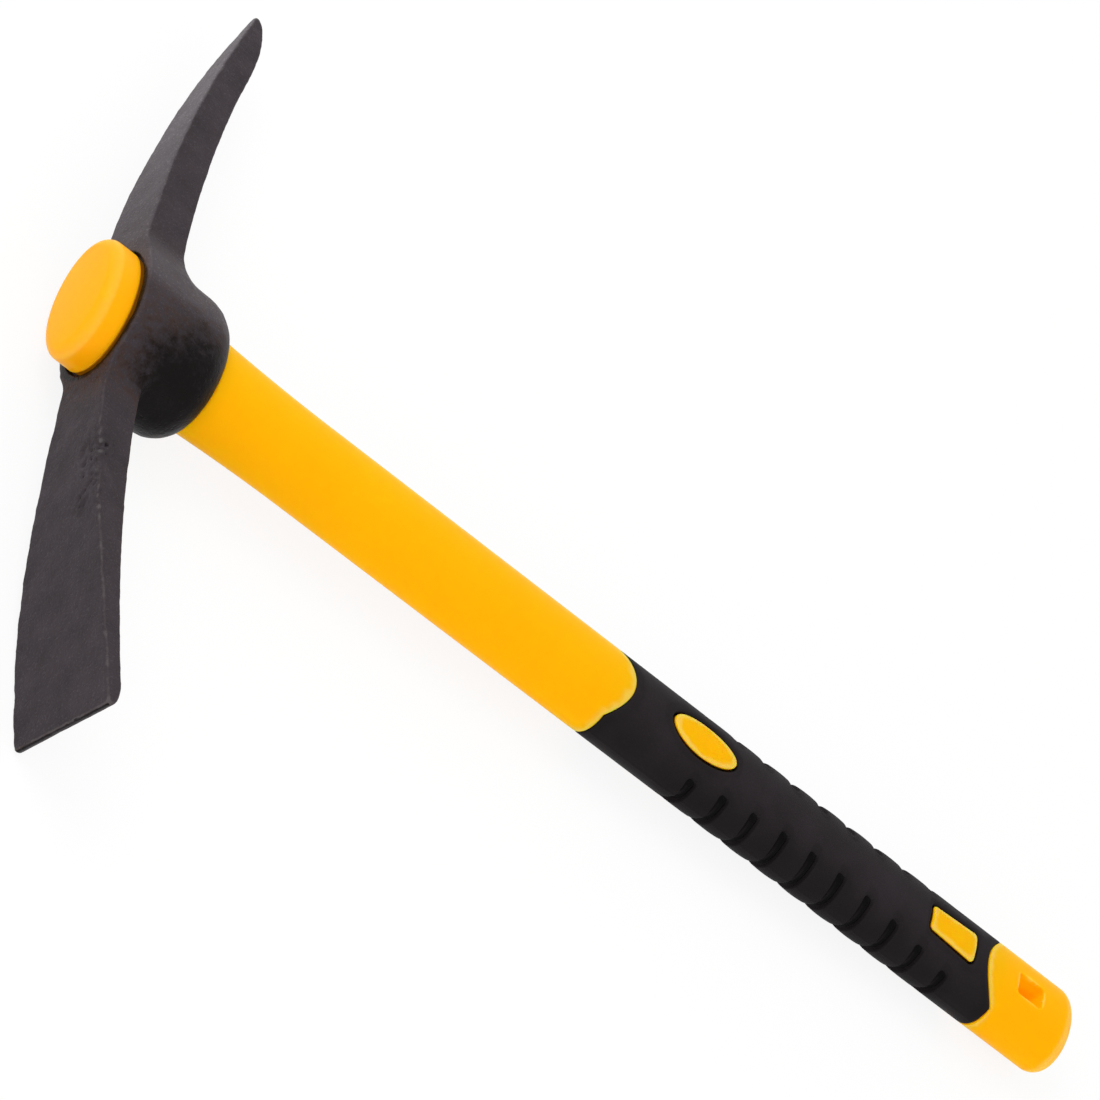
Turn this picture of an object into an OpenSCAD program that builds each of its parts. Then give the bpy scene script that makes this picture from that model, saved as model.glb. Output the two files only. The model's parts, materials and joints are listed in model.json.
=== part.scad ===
// Short one-hand pick mattock lying on its side.
// Drawn along its handle: x runs from the end cap to the butt, y towards the pick, z to the upper cheek.
// laid() then sets the whole tool down on the ground. All sizes are in mm.

/* [Handle] */
// Length over all, from the top of the end cap to the butt
tool_length = 400; // [370:5:440]
// Width of the handle oval, in the swing direction
handle_w = 30; // [29:0.2:32]
// Thickness of the handle oval, from cheek to cheek
handle_t = 22; // [21.4:0.2:23.2]
// Extra width where the handle swells under the head
flare_w = 2.6; // [1.6:0.2:3.6]
// Extra thickness of that swelling
flare_t = 2; // [1.2:0.2:3]
// Length of that swelling
flare_len = 42; // [30:2:60]
// Rounding of the butt
butt_round = 5; // [3:0.5:7]
// Diameter of the fibreglass core
core_d = 13; // [10:0.5:14]
// Solid plastic left between the end of the core and the hang slot
core_stop = 4; // [2:0.5:8]

/* [End cap] */
// How far the cap reaches over the rim of the eye
cap_lip = 1.6; // [1:0.1:2.2]
// Height of the cap above the head
cap_h = 10; // [7:0.5:12]
// Rounding of the cap's top edge
cap_round = 4; // [2.5:0.5:6]

/* [Eye] */
// Wall of the eye where the arms join it
arm_wall = 4.5; // [3.8:0.1:6]
// Wall of the eye at its cheeks
cheek_wall = 5.2; // [4:0.1:6]
// Depth of the eye along the handle
eye_depth = 34.4; // [32:0.2:40]
// Length of the rounded shoulder at the lower end of the eye
shoulder_len = 12.5; // [10:0.5:16]
// Wall of the eye at its lower rim
rim_wall = 1.2; // [0.8:0.1:1.8]
// Rounding of the upper rim
rim_round = 1.4; // [0.8:0.1:2]
// Extra width of the bore at its upper end, which holds the handle in
bore_taper_w = 5.6; // [4:0.2:6.4]
// Extra thickness of the bore at its upper end
bore_taper_t = 1.2; // [0.6:0.1:2]
// Thickness of the resin between the handle and the bore
bond_gap = 1; // [0.6:0.1:1.2]
// Clearance between the handle's shoulder and the mouth of the eye
head_clearance = 0.2; // [0.1:0.05:0.4]

/* [Pick] */
// Distance from the handle axis to the point
pick_reach = 129.5; // [110:0.5:150]
// How far the point bends towards the butt
pick_drop = 19.4; // [10:0.2:26]
// Width of the pick next to the eye
pick_w = 20.5; // [18:0.5:22]
// Thickness of the pick next to the eye
pick_t = 14.2; // [12:0.2:17]
// Width that the sides of the pick taper to
point_w = 4.8; // [4:0.2:7]
// Thickness of the pick where its rounded point starts
point_t = 9.8; // [7:0.2:11]
// Length of the rounded point
point_len = 32; // [24:1:40]

/* [Blade] */
// Distance from the handle axis to the cutting edge
blade_reach = 129; // [110:0.5:150]
// How far the edge bends towards the butt
blade_drop = 23.8; // [14:0.2:32]
// Width of the blade next to the eye
blade_w = 19; // [17:0.5:21]
// Width of the cutting edge
edge_w = 39.5; // [36:0.5:48]
// Thickness of the blade next to the eye
blade_t = 12.8; // [11:0.2:15]
// Thickness of the blade above its rounded edge
edge_t = 5.2; // [3.6:0.2:6.4]
// Length of the rounded edge, on the handle side
bevel_len = 8; // [6:0.5:12]
// Rounding of the long edges of both arms
arm_round = 0.9; // [0.6:0.1:2]

/* [Grip] */
// Length of the rubber grip
grip_len = 165; // [160:1:172]
// Bare length left between the grip and the butt
grip_tail = 32; // [32:0.5:40]
// Thickness of the rubber
grip_wall = 2.4; // [2:0.1:2.8]
// Depth of the curve in the grip's front edge, on both cheeks
front_scallop = 5.7; // [3:0.1:7]
// Depth of the curve in the grip's rear edge
rear_scallop = 7.6; // [4:0.1:8]
// Width of both curves across the handle
scallop_w = 24.6; // [22:0.2:26]
// Number of finger grooves along each edge
groove_count = 10; // [6:1:10]
// Spacing of the grooves
groove_pitch = 12; // [10:0.5:12]
// Distance from the grip's front edge to the first groove
groove_from = 36.5; // [34:0.5:38]
// Width of a groove
groove_w = 4.4; // [3:0.2:5.4]
// Depth of a groove
groove_depth = 1.5; // [0.8:0.1:1.6]

/* [Windows] */
// Length of the oval window in the grip
oval_len = 26; // [20:0.5:28]
// Width of the oval window
oval_w = 11.6; // [9:0.2:12]
// Distance from the grip's front edge to the middle of the oval window
oval_from = 35; // [30:0.5:40]
// Length of the four-sided window
plate_len = 19.4; // [14:0.2:20]
// Width of the four-sided window at its wide end
plate_w = 11; // [8:0.2:12]
// Width of the four-sided window at its narrow end
plate_narrow = 9; // [6.8:0.2:10]
// Corner rounding of the four-sided window
plate_round = 1.6; // [0.8:0.1:2.4]
// Distance from the grip's rear edge back to the middle of the four-sided window
plate_from = 22.8; // [21.4:0.2:26]

/* [Hang slot] */
// Length of the slot along the handle
slot_len = 10.6; // [8:0.2:12]
// Width of the slot
slot_w = 7.4; // [5:0.2:9]
// Corner rounding of the slot
slot_round = 1.2; // [0.6:0.1:2]
// Distance from the butt to the middle of the slot
slot_from = 20.8; // [20:0.2:24]

/* [Hidden] */

STEEL = [0.27, 0.25, 0.26];
YELLOW = [0.98, 0.68, 0.05];
RUBBER = [0.12, 0.12, 0.13];
GLASS = [0.80, 0.76, 0.60];
RESIN = [0.45, 0.40, 0.30];

// smoothness: points on a ring; rings on a rounded edge, the eye's shoulder, the point and the cutting edge
SIDES = 48;
ROUND_STEPS = 5;
SHOULDER_STEPS = 7;
POINT_STEPS = 8;
EDGE_STEPS = 5;
// gap between the grip and the jacket that it is moulded on
MOULD_GAP = 0.02;
// how far a cutting shape runs past what it cuts
PAST = 1;

// places along the handle
eye_top = cap_h;
eye_end = eye_top + eye_depth;
flare_end = eye_end + flare_len;
grip_rear = tool_length - grip_tail;
grip_front = grip_rear - grip_len;
oval_x = grip_front + oval_from;
plate_x = grip_rear - plate_from;
slot_x = tool_length - slot_from;
core_end = slot_x - slot_len / 2 - core_stop;

// swollen handle under the head, and the bore that fits it
mouth_w = handle_w + flare_w + 2 * head_clearance;
mouth_t = handle_t + flare_t + 2 * head_clearance;
bore_top_w = mouth_w + bore_taper_w;
bore_top_t = mouth_t + bore_taper_t;
eye_w = bore_top_w + 2 * arm_wall;
eye_t = bore_top_t + 2 * cheek_wall;
rim_w = mouth_w + 2 * rim_wall;
rim_t = mouth_t + 2 * rim_wall;
cap_w = bore_top_w + 2 * cap_lip;
cap_t = bore_top_t + 2 * cap_lip;

// the arms start inside the eye's wall, at this share of its width, and are as wide as the eye there
root_share = 0.34;
arm_root = eye_w * root_share;
root_half = eye_t / 2 * sqrt(1 - pow(2 * root_share, 2));
// length over which the arms narrow from there, the fillets under them, and the rings of that stretch
root_blend = 11;
pick_fillet = 3;
blade_fillet = 4;
root_len = 14;
root_step = 2;

// bend and taper of the arms: powers of the distance along them
pick_bend = 2;
pick_taper = 1.3;
blade_bend = 1.68;
blade_spread = 1.85;
// share of the thickness and of the width that is left at the very point, and of the thickness at the edge
point_t_left = 0.14;
point_w_left = 0.45;
edge_t_left = 0.1;
// the corners of the cutting edge are rounded over this length, by this much of the width
corner_len = 4;
corner_cut = 2;

// angles of the grooves round the handle, from the middle of the cheek: where the outer grooves end,
// how much further the middle ones reach, and the fade at their ends
groove_end = 44;
groove_arch = 23;
groove_soft = 22;

// how the tool lies: on the cheek of the eye, the butt and a corner of the cutting edge
cheek_x = eye_end - shoulder_len;
butt_x = tool_length - butt_round;
lie_pitch = atan((eye_t - handle_t) / 2 / (butt_x - cheek_x));
edge_x = eye_top + blade_drop;
edge_below = (edge_w - eye_t) / 2 * cos(lie_pitch) + (edge_x + edge_t - cheek_x) * sin(lie_pitch);
lie_roll = atan(edge_below / (blade_reach - corner_len));
lie_height = eye_t / 2 * cos(lie_pitch) + cheek_x * sin(lie_pitch);

// rings and skins

// one oval ring across the handle
function oval(x, w, t) = [for (i = [0 : SIDES - 1])
    let (a = 360 * i / SIDES) [x, w / 2 * cos(a), t / 2 * sin(a)]];

// an oval ring that follows a curved end: bow reaches towards the butt on both cheeks
function bowed_oval(x, w, t, bow) = [for (i = [0 : SIDES - 1])
    let (a = 360 * i / SIDES, y = w / 2 * cos(a))
    [x + bow * max(0, 1 - pow(2 * y / scallop_w, 2)), y, t / 2 * sin(a)]];

// a rounded bar section across an arm, whose outer face is at x
function bar(y, x, t, w, r) = [
    for (k = [0 : 3])
        let (cx = (k == 0 || k == 3) ? x + r : x + t - r, cz = (k < 2) ? w / 2 - r : r - w / 2)
        for (s = [0 : 3])
            let (a = -90 + 90 * k + 30 * s)
            [cx + r * sin(a), y, cz + r * cos(a)]];

// faces between neighbouring rings
function band(i, k, n) = [for (j = [0 : n - 1])
    let (j2 = (j + 1) % n)
    each [[i * n + j, k * n + j, i * n + j2], [i * n + j2, k * n + j, k * n + j2]]];

// closed skin over a row of rings, with flat ends
module skin(rings) {
    n = len(rings[0]);
    m = len(rings);
    sides = [for (i = [0 : m - 2]) each band(i, i + 1, n)];
    ends = [[for (j = [0 : n - 1]) j], [for (j = [n - 1 : -1 : 0]) (m - 1) * n + j]];
    polyhedron([for (r = rings) each r], concat(sides, ends));
}

// closed skin over rings that run out along the outside and back along the bore
module tube_skin(rings) {
    n = len(rings[0]);
    m = len(rings);
    polyhedron([for (r = rings) each r], [for (i = [0 : m - 1]) each band(i, (i + 1) % m, n)]);
}

// the tool is set down on the ground, with the middle of its footprint at the origin
module laid() {
    translate([-tool_length / 2, (blade_reach - pick_reach) / 2, lie_height])
        rotate([-lie_roll, 0, 0]) rotate([0, lie_pitch, 0]) children();
}

// handle sizes at a place along it
function swell(x) = pow(max(0, (flare_end - x) / flare_len), 2);
function width_at(x) = handle_w + flare_w * swell(x);
function thick_at(x) = handle_t + flare_t * swell(x);

// bore of the eye, from the wide upper end to the mouth
function bore_w(x) = mouth_w + bore_taper_w * (eye_end - x) / eye_depth;
function bore_t(x) = mouth_t + bore_taper_t * (eye_end - x) / eye_depth;

// head

function shoulder(x) = pow(max(0, (x - eye_end + shoulder_len) / shoulder_len), 3);
function barrel(x) = oval(x, eye_w + (rim_w - eye_w) * shoulder(x), eye_t + (rim_t - eye_t) * shoulder(x));

module eye_barrel() {
    rounded = [for (s = [0 : ROUND_STEPS - 1])
        let (a = 90 * s / ROUND_STEPS, inset = 2 * rim_round * (1 - sin(a)))
        oval(eye_top + rim_round * (1 - cos(a)), eye_w - inset, eye_t - inset)];
    shoulder_rings = [for (s = [0 : SHOULDER_STEPS])
        barrel(eye_end - shoulder_len * (1 - s / SHOULDER_STEPS))];
    skin(concat(rounded, [barrel(eye_top + rim_round)], shoulder_rings));
}

module eye_bore() {
    skin([for (x = [eye_top - PAST, eye_end + PAST]) oval(x, bore_w(x), bore_t(x))]);
}

// both arms widen into the cheeks of the eye
function root_extra(d, half) = (root_half - half) * pow(max(0, 1 - d / root_blend), 2);
function root_fillet(y, r) = let (d = min(r, max(0, eye_w / 2 + r - y))) r - sqrt(r * r - d * d);

// the long edges' rounding, kept under half of a thin arm
function edge_round(t) = min(arm_round, t * 0.45);

// what is left of a size on the way to a rounded end: all of it at g = 0, the given share at g = 1
function rounded_end(g, left) = sqrt(1 - (1 - left * left) * g * g);

function pick_ring(y) = let (
        u = (y - arm_root) / (pick_reach - arm_root),
        g = max(0, 1 - (pick_reach - y) / point_len),
        u0 = 1 - point_len / (pick_reach - arm_root),
        half = (point_w + (pick_w - point_w) * (1 - pow(u, pick_taper))) / 2,
        t = (pick_t + (point_t - pick_t) * min(1, u / u0)) * rounded_end(g, point_t_left),
        w = 2 * (half * rounded_end(g, point_w_left) + root_extra(y - arm_root, half)))
    bar(y, eye_top + pick_drop * pow(u, pick_bend), t + root_fillet(y, pick_fillet), w, edge_round(t));

module pick_arm() {
    root = [for (d = [0 : root_step : root_len]) arm_root + d];
    shank_end = pick_reach - point_len;
    shank = [for (s = [1 : 9]) arm_root + root_len + (shank_end - arm_root - root_len) * s / 9];
    point = [for (s = [1 : POINT_STEPS]) shank_end + point_len * sin(90 * s / POINT_STEPS)];
    skin([for (y = concat(root, shank, point)) pick_ring(y)]);
}

function blade_ring(y) = let (
        v = (y - arm_root) / (blade_reach - arm_root),
        g = max(0, 1 - (blade_reach - y) / bevel_len),
        corner = max(0, 1 - (blade_reach - y) / corner_len),
        half = (blade_w + (edge_w - blade_w) * pow(sin(90 * v), blade_spread)) / 2,
        t = (edge_t + (blade_t - edge_t) * (0.5 + 0.5 * cos(180 * v))) * rounded_end(g, edge_t_left),
        w = 2 * (half + root_extra(y - arm_root, half)) - corner_cut * (1 - rounded_end(corner, 0)))
    bar(-y, eye_top + blade_drop * pow(v, blade_bend), t + root_fillet(y, blade_fillet), w, edge_round(t));

module blade_arm() {
    plate_end = blade_reach - bevel_len;
    edge = [for (s = [EDGE_STEPS : -1 : 1]) plate_end + bevel_len * sin(90 * s / EDGE_STEPS)];
    plate = [for (s = [11 : -1 : 1]) arm_root + root_len + (plate_end - arm_root - root_len) * s / 11];
    root = [for (d = [root_len : -root_step : 0]) arm_root + d];
    skin([for (y = concat(edge, plate, root)) blade_ring(y)]);
}

module mattock_head() {
    color(STEEL) laid() difference() {
        union() {
            eye_barrel();
            pick_arm();
            blade_arm();
        }
        eye_bore();
    }
}

// handle

module handle_core() {
    color(GLASS) laid() translate([eye_top, 0, 0]) rotate([0, 90, 0])
        cylinder(h = core_end - eye_top, d = core_d, $fn = 64);
}

// outline of a window, seen on the cheek; grow widens it all round
module oval_outline(grow) {
    polygon([for (i = [0 : 47])
        let (a = 7.5 * i)
        [oval_x + (oval_len / 2 + grow) * cos(a), (oval_w / 2 + grow) * sin(a)]]);
}

module plate_outline(grow) {
    e = plate_len / 2 - plate_round;
    w = plate_w / 2 - plate_round;
    n = plate_narrow / 2 - plate_round;
    r = plate_round + grow;
    corners = [[e, w], [-e, n], [-e, -n], [e, -w]];
    polygon([for (k = [0 : 3], s = [0 : 3])
        let (a = 90 * k + 30 * s)
        [plate_x + corners[k][0] + r * cos(a), corners[k][1] + r * sin(a)]]);
}

module window_columns(grow) {
    translate([0, 0, -handle_t]) linear_extrude(2 * handle_t) {
        oval_outline(grow);
        plate_outline(grow);
    }
}

// the jacket shows through the windows as raised pads
module window_pads() {
    intersection() {
        window_columns(0);
        translate([grip_front, 0, 0]) rotate([90, 0, 90])
            linear_extrude(grip_len) polygon([for (p = oval(0, handle_w, handle_t)) [p[1], p[2]]]);
    }
}

module slot_column() {
    inner = [slot_len - 2 * slot_round, slot_w - 2 * slot_round];
    translate([slot_x, 0, -handle_t]) linear_extrude(2 * handle_t) {
        square([slot_len, inner[1]], center = true);
        square([inner[0], slot_w], center = true);
        for (sx = [-0.5, 0.5], sy = [-0.5, 0.5])
            translate([sx * inner[0], sy * inner[1]]) circle(r = slot_round, $fn = 32);
    }
}

module jacket_skin() {
    waist_w = handle_w - 2 * grip_wall;
    waist_t = handle_t - 2 * grip_wall;
    tang = [for (x = [eye_top, eye_end]) oval(x, bore_w(x) - 2 * bond_gap, bore_t(x) - 2 * bond_gap)];
    shaft = [for (s = [0 : 8])
        let (x = eye_end + flare_len * s / 8) oval(x, width_at(x), thick_at(x))];
    step_in = [bowed_oval(grip_front, handle_w, handle_t, front_scallop),
        bowed_oval(grip_front, waist_w, waist_t, front_scallop)];
    step_out = [bowed_oval(grip_rear, waist_w, waist_t, -rear_scallop),
        bowed_oval(grip_rear, handle_w, handle_t, -rear_scallop)];
    butt = [for (s = [0 : ROUND_STEPS])
        let (a = 90 * s / ROUND_STEPS, inset = 2 * butt_round * (1 - cos(a)))
        oval(tool_length - butt_round * (1 - sin(a)), handle_w - inset, handle_t - inset)];
    skin(concat(tang, shaft, step_in, step_out, butt));
}

module handle_jacket() {
    color(YELLOW) laid() difference() {
        union() {
            jacket_skin();
            window_pads();
        }
        translate([eye_top - PAST, 0, 0]) rotate([0, 90, 0])
            cylinder(h = core_end - eye_top + PAST, d = core_d, $fn = 64);
        slot_column();
    }
}

// grip

// share of the groove depth at a place: full along both edges, none on the cheeks
function groove_reach(i) = groove_end - groove_arch * (1 - pow(2 * i / (groove_count - 1) - 1, 2));
function groove_fade(a, i) = let (off = abs((a % 180) - 90), d = (off - groove_reach(i)) / groove_soft)
    d <= 0 ? 0 : d >= 1 ? 1 : d * d * (3 - 2 * d);

function groove_ring(i, f, cut) = let (x = grip_front + groove_from + groove_pitch * i + f * groove_w / 2)
    [for (j = [0 : SIDES - 1])
        let (a = 360 * j / SIDES, d = cut * groove_depth * groove_fade(a, i))
        [x, (handle_w / 2 - d) * cos(a), (handle_t / 2 - d) * sin(a)]];

module grip_skin() {
    bore_wide = handle_w - 2 * grip_wall + 2 * MOULD_GAP;
    bore_thick = handle_t - 2 * grip_wall + 2 * MOULD_GAP;
    x0 = grip_front + MOULD_GAP;
    x1 = grip_rear - MOULD_GAP;
    grooves = [for (i = [0 : groove_count - 1])
        each [groove_ring(i, -1, 0), groove_ring(i, -0.4, 0.75), groove_ring(i, 0, 1),
            groove_ring(i, 0.4, 0.75), groove_ring(i, 1, 0)]];
    tube_skin(concat(
        [bowed_oval(x0, handle_w, handle_t, front_scallop)],
        grooves,
        [bowed_oval(x1, handle_w, handle_t, -rear_scallop)],
        [bowed_oval(x1, bore_wide, bore_thick, -rear_scallop)],
        [bowed_oval(x0, bore_wide, bore_thick, front_scallop)]));
}

module grip_sleeve() {
    color(RUBBER) laid() difference() {
        grip_skin();
        window_columns(MOULD_GAP);
    }
}

// fitting of the head

module end_cap() {
    top = [for (s = [0 : ROUND_STEPS])
        let (a = 90 * s / ROUND_STEPS, inset = 2 * cap_round * (1 - sin(a)))
        oval(cap_round * (1 - cos(a)), cap_w - inset, cap_t - inset)];
    color(YELLOW) laid() skin(concat(top, [oval(cap_h, cap_w, cap_t)]));
}

module eye_bond() {
    color(RESIN) laid() tube_skin([
        oval(eye_top, bore_w(eye_top), bore_t(eye_top)),
        oval(eye_end, bore_w(eye_end), bore_t(eye_end)),
        oval(eye_end, bore_w(eye_end) - 2 * bond_gap, bore_t(eye_end) - 2 * bond_gap),
        oval(eye_top, bore_w(eye_top) - 2 * bond_gap, bore_t(eye_top) - 2 * bond_gap)]);
}

mattock_head();
handle_core();
handle_jacket();
grip_sleeve();
end_cap();
eye_bond();
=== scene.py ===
# %% [markdown]
# # A short pick mattock
# The tool is one forged steel head on a plastic handle with a rubber grip. Its solids are already placed
# and sized in the frame that is loaded here, and this lesson dresses them. Everything ends up in metres,
# but a hand tool is easier to think about in millimetres along its own handle, so most cells work in that
# space.

# %% Load the frame
import json
import math
from functools import partial, partialmethod

import bmesh
import bpy
import numpy as np
from mathutils import Matrix, Vector
from mathutils.geometry import delaunay_2d_cdt


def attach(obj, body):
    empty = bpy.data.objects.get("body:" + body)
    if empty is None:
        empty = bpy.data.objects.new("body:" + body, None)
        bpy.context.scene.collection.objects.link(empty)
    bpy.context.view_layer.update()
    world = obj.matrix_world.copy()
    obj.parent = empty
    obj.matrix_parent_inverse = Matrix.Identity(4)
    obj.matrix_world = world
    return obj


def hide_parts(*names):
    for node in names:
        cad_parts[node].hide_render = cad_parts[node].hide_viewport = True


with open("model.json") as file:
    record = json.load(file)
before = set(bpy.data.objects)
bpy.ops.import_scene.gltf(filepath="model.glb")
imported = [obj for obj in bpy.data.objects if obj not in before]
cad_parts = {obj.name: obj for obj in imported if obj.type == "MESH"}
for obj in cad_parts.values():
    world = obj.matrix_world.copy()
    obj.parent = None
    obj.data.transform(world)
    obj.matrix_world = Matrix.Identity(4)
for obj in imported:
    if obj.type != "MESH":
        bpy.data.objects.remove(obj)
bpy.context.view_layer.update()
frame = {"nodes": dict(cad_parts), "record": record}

# %% [markdown]
# ## The tool's own axes
# The tool lies slightly tipped on the ground, so its handle isn't quite along an axis of the frame. The
# flat butt and the hang slot are recorded as mounts, and their directions give the handle's axes back.
# The matrix below takes a point in millimetres (x from the cap to the butt, y towards the pick, z through
# the upper cheek) to its place in the frame. Finished meshes are moved by it, so that every object itself
# stays at the origin.

# %% The tool's own axes
MM = 0.001
tool_length = 400.0

mounts = {mount["name"]: mount for mount in frame["record"]["mounts"]}
along = Vector(mounts["butt_face"]["axis"]).normalized()
cheek_up = Vector(mounts["hang_slot"]["axis"])
cheek_up = (cheek_up - along * cheek_up.dot(along)).normalized()
to_pick = cheek_up.cross(along)
cap_top = Vector(mounts["butt_face"]["pos_m"]) - along * tool_length * MM
turn = Matrix((along, to_pick, cheek_up)).transposed().to_4x4()
to_frame = Matrix.Translation(cap_top) @ turn @ Matrix.Scale(MM, 4)
print("cap top at", [round(c, 4) for c in cap_top])

# %% [markdown]
# ## Sizes
# These are the driving sizes of the real tool, in millimetres. Everything below is worked out from them,
# so a different handle or blade only needs a change here and in the solids.

# %% Sizes
handle_w, handle_t = 30.0, 22.0
flare_w, flare_t, flare_len = 2.6, 2.0, 42.0
butt_round = 5.0
core_d = 13.0
cap_h, cap_lip, cap_round = 10.0, 1.6, 4.0
cap_gap, cap_sunk = 0.6, 1.6
arm_wall, cheek_wall, rim_wall = 4.5, 5.2, 1.2
eye_depth, shoulder_len, rim_round = 34.4, 12.5, 1.4
bore_taper_w, bore_taper_t = 5.6, 1.2
head_clearance, bond_gap = 0.2, 1.0
grip_len, grip_tail, grip_wall = 165.0, 32.0, 2.4
slot_len, slot_w, slot_round, slot_from = 10.6, 7.4, 1.2, 20.8
core_stop = 4.0

eye_top = cap_h
eye_end = eye_top + eye_depth
flare_end = eye_end + flare_len
grip_rear = tool_length - grip_tail
grip_front = grip_rear - grip_len
slot_x = tool_length - slot_from
mouth_w = handle_w + flare_w + 2 * head_clearance
mouth_t = handle_t + flare_t + 2 * head_clearance
bore_top_w = mouth_w + bore_taper_w
bore_top_t = mouth_t + bore_taper_t
eye_w = bore_top_w + 2 * arm_wall
eye_t = bore_top_t + 2 * cheek_wall
cap_w = bore_top_w + 2 * cap_lip
cap_t = bore_top_t + 2 * cap_lip
print(f"eye {eye_w:.1f} x {eye_t:.1f} mm, grip from {grip_front:.0f} to {grip_rear:.0f} mm")

# %% [markdown]
# ## Formulas as nodes
# Geometry Nodes and shaders share the Math node, and a long formula takes many of them. The small class
# below wraps one output socket and turns ordinary arithmetic into Math nodes, so that a rule can be
# written as a formula and still ends up as a node tree that anyone can open and change. The list after it
# says which Math operation stands for which sign or word.

# %% Formulas as nodes
class Field:
    """One value that varies over a shape: an output socket of a node tree, with ordinary arithmetic."""

    def __init__(self, tree, socket):
        self.tree = tree
        self.socket = socket

    def math(self, operation, *others):
        node = self.tree.nodes.new("ShaderNodeMath")
        node.operation = operation
        for slot, value in zip(node.inputs, (self, *others)):
            feed(self.tree, slot, value)
        return Field(self.tree, node.outputs[0])

    def __neg__(self):
        return self * -1.0

    def __rsub__(self, other):
        return -self + other

    def clip(self, low, high):
        return self.max(low).min(high)

    def clamp(self):
        return self.clip(0.0, 1.0)

    def ease(self):
        step = self.clamp()
        return step * step * (3.0 - 2.0 * step)

    def stretch(self, low, high):
        """0 at low and 1 at high, in a straight line."""
        return ((self - low) / (high - low)).clamp()

    def rise(self, start, over):
        """0 up to start and 1 further on, with a smooth way over this stretch."""
        return ((self - start) / over).ease()

    def fall(self, end, over):
        """1 at first and 0 from end on, with a smooth way over this stretch."""
        return ((end - self) / over).ease()

    def lifted(self, least):
        """The same share, but from a least value up to 1."""
        return self * (1.0 - least) + least


math_nodes = {"__add__": "ADD", "__radd__": "ADD", "__sub__": "SUBTRACT", "__mul__": "MULTIPLY",
              "__rmul__": "MULTIPLY", "__truediv__": "DIVIDE", "__pow__": "POWER", "__abs__": "ABSOLUTE",
              "min": "MINIMUM", "max": "MAXIMUM", "soft_min": "SMOOTH_MIN", "soft_max": "SMOOTH_MAX",
              "root": "SQRT", "sin": "SINE", "cos": "COSINE"}
for word, operation in math_nodes.items():
    setattr(Field, word, partialmethod(Field.math, operation))


def feed(tree, slot, value):
    """Links a field or a socket to an input, or sets the input to a plain value."""
    if isinstance(value, Field):
        tree.links.new(value.socket, slot)
    elif isinstance(value, bpy.types.NodeSocket):
        tree.links.new(value, slot)
    else:
        slot.default_value = value


def add_node(tree, kind, inputs=None, **settings):
    """Adds a node, sets its properties and feeds its inputs, which are named or numbered."""
    node = tree.nodes.new(kind)
    for name, value in settings.items():
        setattr(node, name, value)
    for name, value in (inputs or {}).items():
        feed(tree, node.inputs[name], value)
    return node


def split(tree, vector):
    """The three parts of a vector, as fields."""
    parts = add_node(tree, "ShaderNodeSeparateXYZ", {0: vector})
    return [Field(tree, out) for out in parts.outputs]


def join(tree, x, y, z):
    """A vector socket made of three fields or numbers."""
    return add_node(tree, "ShaderNodeCombineXYZ", {0: x, 1: y, 2: z}).outputs[0]

# %% [markdown]
# ## Geometry trees with named sizes
# Each tree takes its sizes through named inputs, so the same tree can be opened in the interface and
# tried with other values. A modifier stores an input under the socket's identifier, not under its name,
# which is why run_tree looks it up. After the tree has run, its result becomes a plain mesh.

# %% Geometry trees with named sizes
def number_inputs(tree, sizes):
    """Gives a tree one named number input per size. Returns its input node and the numbers as fields."""
    for label, value in sizes.items():
        socket = tree.interface.new_socket(label, in_out="INPUT", socket_type="NodeSocketFloat")
        socket.default_value = value
    entry = tree.nodes.new("NodeGroupInput")
    return entry, {label: Field(tree, entry.outputs[label]) for label in sizes}


def start_tree(name, sizes):
    """A new geometry tree. Returns the tree, the geometry that comes in and the sizes as fields."""
    tree = bpy.data.node_groups.new(name, "GeometryNodeTree")
    tree.interface.new_socket("Geometry", in_out="INPUT", socket_type="NodeSocketGeometry")
    tree.interface.new_socket("Geometry", in_out="OUTPUT", socket_type="NodeSocketGeometry")
    entry, fields = number_inputs(tree, sizes)
    return tree, entry.outputs["Geometry"], fields


def position(tree):
    """The place of a point, as a vector socket."""
    return add_node(tree, "GeometryNodeInputPosition").outputs[0]


def blur(tree, value, kind, steps):
    """A value averaged with its neighbours on the mesh."""
    node = add_node(tree, "GeometryNodeBlurAttribute", {"Iterations": steps}, data_type=kind)
    feed(tree, next(slot for slot in node.inputs if slot.enabled and slot.name == "Value"), value)
    return next(out for out in node.outputs if out.enabled)


def store(tree, geometry, label, value):
    """Keeps a value on a mesh's points under a name, for the material."""
    kept = add_node(tree, "GeometryNodeStoreNamedAttribute", {"Geometry": geometry, "Name": label},
                    data_type="FLOAT", domain="POINT")
    feed(tree, next(slot for slot in kept.inputs if slot.enabled and slot.name == "Value"), value)
    return kept.outputs[0]


def finish_tree(tree, geometry, material, blur_steps=6):
    """Marks worn edges, smooths the shading, realizes instances and sets the material."""
    place = position(tree)
    smoothed = blur(tree, place, "FLOAT_VECTOR", blur_steps)
    away = add_node(tree, "ShaderNodeVectorMath", {0: place, 1: smoothed}, operation="SUBTRACT").outputs[0]
    normal = add_node(tree, "GeometryNodeInputNormal").outputs[0]
    rise = add_node(tree, "ShaderNodeVectorMath", {0: away, 1: normal}, operation="DOT_PRODUCT")
    edge = blur(tree, rise.outputs["Value"], "FLOAT", 3)
    smooth = add_node(tree, "GeometryNodeSetShadeSmooth", {"Geometry": store(tree, geometry, "edge", edge)})
    real = add_node(tree, "GeometryNodeRealizeInstances", {"Geometry": smooth.outputs[0]})
    painted = add_node(tree, "GeometryNodeSetMaterial", {"Geometry": real.outputs[0], "Material": material})
    leave = tree.nodes.new("NodeGroupOutput")
    feed(tree, leave.inputs["Geometry"], painted.outputs[0])


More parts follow.
